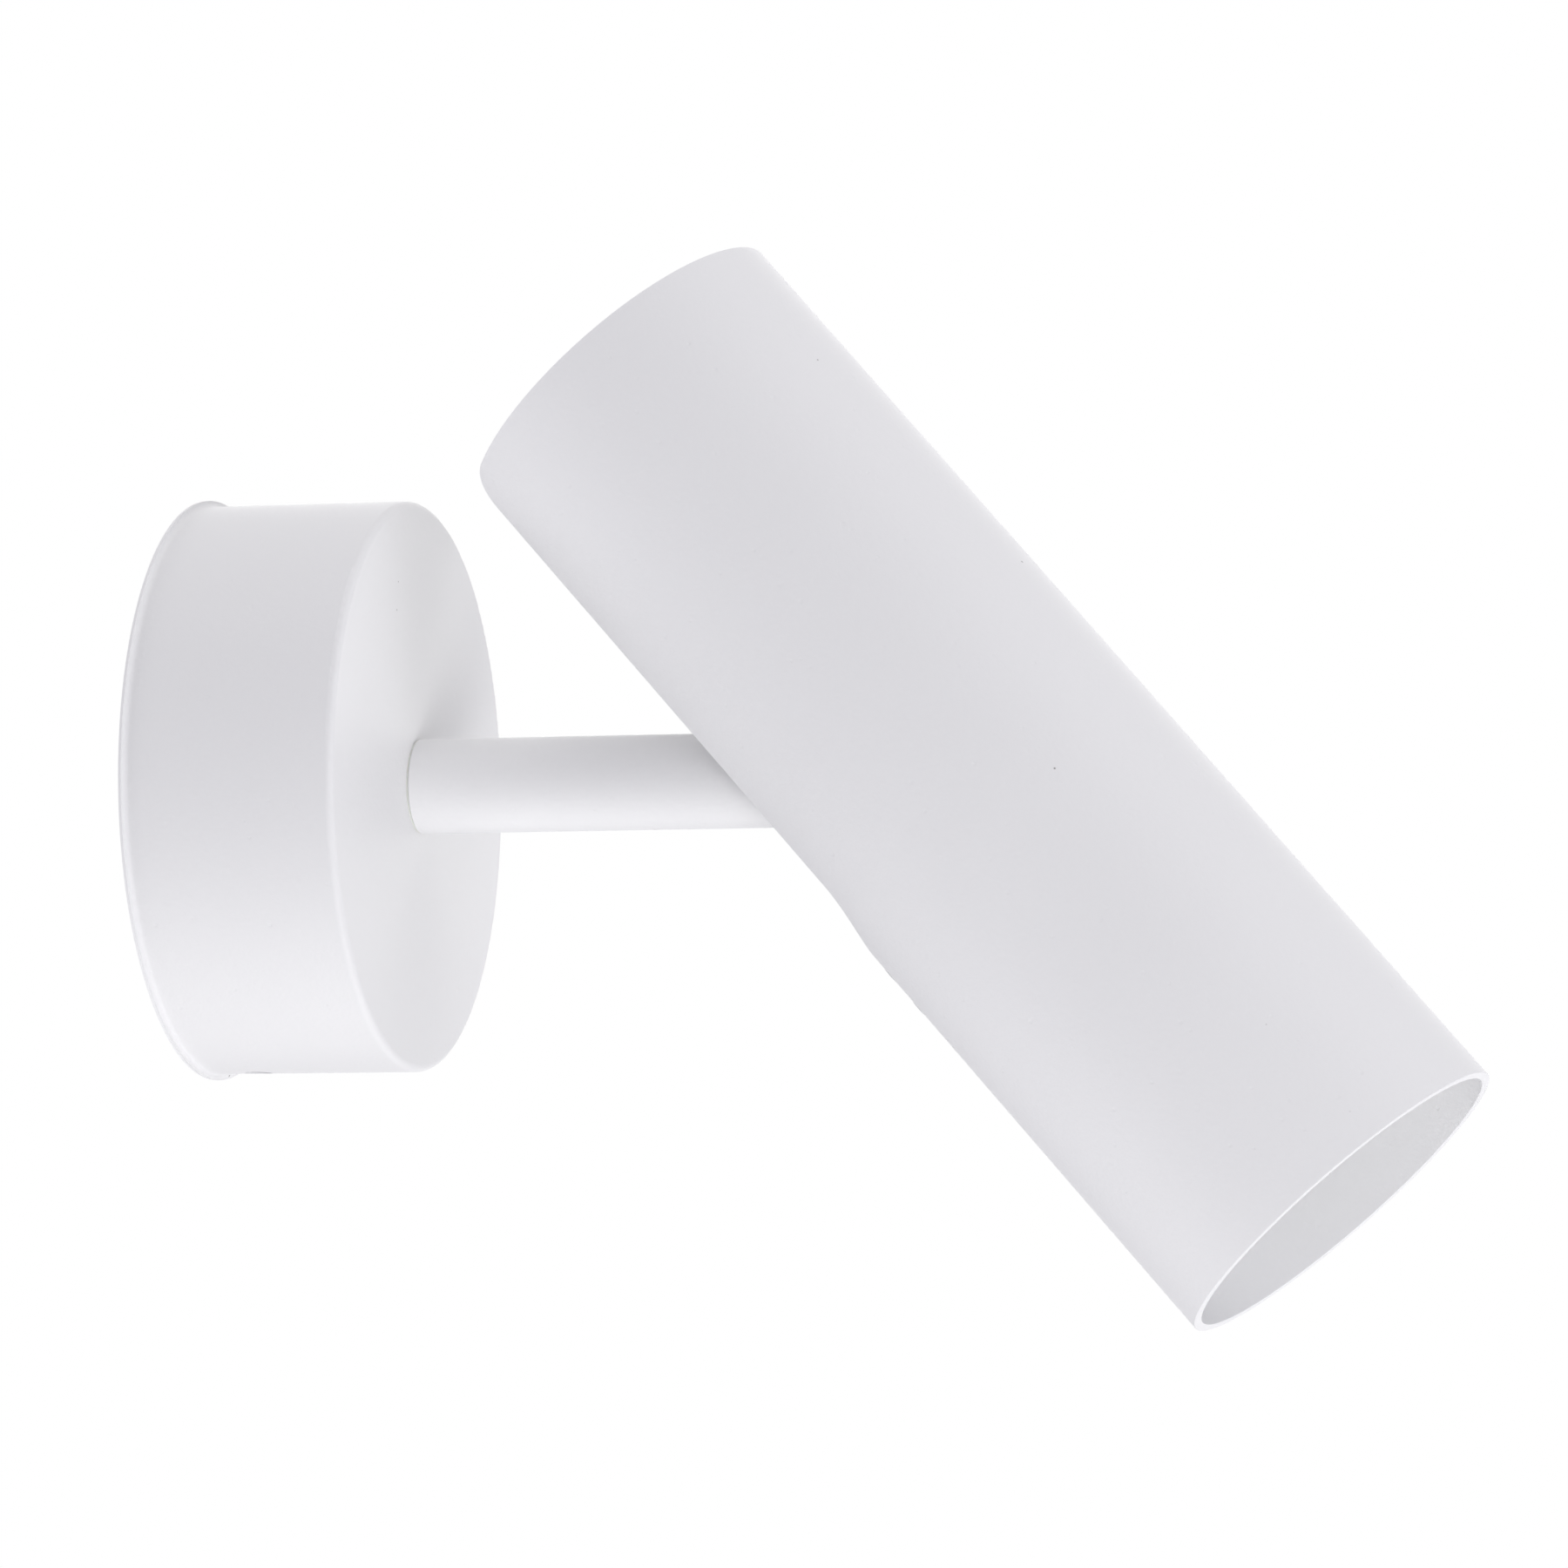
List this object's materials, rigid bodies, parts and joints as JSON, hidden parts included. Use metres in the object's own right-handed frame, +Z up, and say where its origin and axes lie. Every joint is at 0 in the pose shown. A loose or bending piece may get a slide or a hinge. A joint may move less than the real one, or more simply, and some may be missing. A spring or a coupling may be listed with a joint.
{
  "type": "pivoting spotlight wall light",
  "caption": "Matt white wall spotlight: round canopy, straight arm that swivels, and a slim open tube with a twist-lock reflector lamp that tilts on the arm's end.",
  "frame": {"origin": "centre of the canopy's wall side, in the plane of the wall", "axes": "+Y into the wall, the light stands out along -Y, +Z up, +X to the right seen from the room"},
  "size_m": [0.0936, 0.2073, 0.1722],
  "materials": {
    "white_coat": "matt white powder coat, fine texture",
    "zinc_steel": "bright zinc plate",
    "spring_steel": "hardened spring steel",
    "brass": "turned brass",
    "nylon": "natural polyamide",
    "friction_fibre": "pressed fibre",
    "rubber": "soft black rubber",
    "ceramic": "glazed steatite",
    "lead_live": "silicone insulation",
    "lead_neutral": "silicone insulation",
    "lead_earth": "green insulation with a yellow stripe",
    "lamp_plastic": "satin moulded",
    "lens": "frosted, with a fine lens pattern",
    "light_board": "white solder mask",
    "emitter": "phosphor, not lit"
  },
  "bodies": {
    "wall_base": {"canopy": "white_coat", "face_stiffener": "zinc_steel", "stop_pin": "zinc_steel", "swivel_bush": "nylon", "seat_washer": "nylon", "wall_plate": "zinc_steel", "canopy_grub_screws": "zinc_steel", "cable_bush": "rubber", "terminal_block": "nylon", "terminal_sleeves": "brass", "terminal_clamp_screws": "zinc_steel", "terminal_fixing_screws": "zinc_steel", "earth_lug": "brass", "earth_washer": "zinc_steel", "earth_screw": "zinc_steel", "earth_lead": "lead_earth", "supply_lead_live": "lead_live", "supply_lead_neutral": "lead_neutral"},
    "arm": {"arm_tube": "white_coat", "arm_socket": "zinc_steel", "swivel_spindle": "brass", "stop_washer": "zinc_steel", "swivel_spring_washer": "spring_steel", "swivel_washer": "zinc_steel", "swivel_nut": "zinc_steel", "swivel_lock_nut": "zinc_steel", "arm_knuckle": "white_coat", "knuckle_set_screw": "zinc_steel", "pivot_bush": "nylon", "arm_lead_live": "lead_live", "arm_lead_neutral": "lead_neutral"},
    "head": {"lamp_tube": "white_coat", "tube_screws": "zinc_steel", "bulkhead": "zinc_steel", "pivot_clevis": "zinc_steel", "friction_discs": "friction_fibre", "pivot_washers": "zinc_steel", "pivot_screw": "zinc_steel", "pivot_spring_washer": "spring_steel", "pivot_nut": "zinc_steel", "lampholder_cover": "ceramic", "lampholder_body": "ceramic", "lampholder_contacts": "spring_steel", "lampholder_screws": "zinc_steel", "head_lead_live": "lead_live", "head_lead_neutral": "lead_neutral"},
    "lamp": {"lamp_base": "lamp_plastic", "lamp_pins": "brass", "lamp_shell": "lamp_plastic", "led_board": "light_board", "led_emitter": "emitter", "lamp_lens": "lens"}
  },
  "joints": [
    {"name": "arm_swivel", "type": "hinge", "parent": "wall_base", "child": "arm", "pos_m": [0, 0, 0], "axis": [0, -1, 0], "range_deg": [-160, 160]},
    {"name": "head_tilt", "type": "hinge", "parent": "arm", "child": "head", "pos_m": [0, -0.1253, 0], "axis": [1, 0, 0], "range_deg": [-48.5, 41.5], "deforming": ["head_lead_live", "head_lead_neutral"]},
    {"name": "lamp_twist", "type": "hinge", "parent": "head", "child": "lamp", "pos_m": [0, -0.1253, 0], "axis": [0, -0.6626, -0.749], "range_deg": [0, 45]}
  ]
}
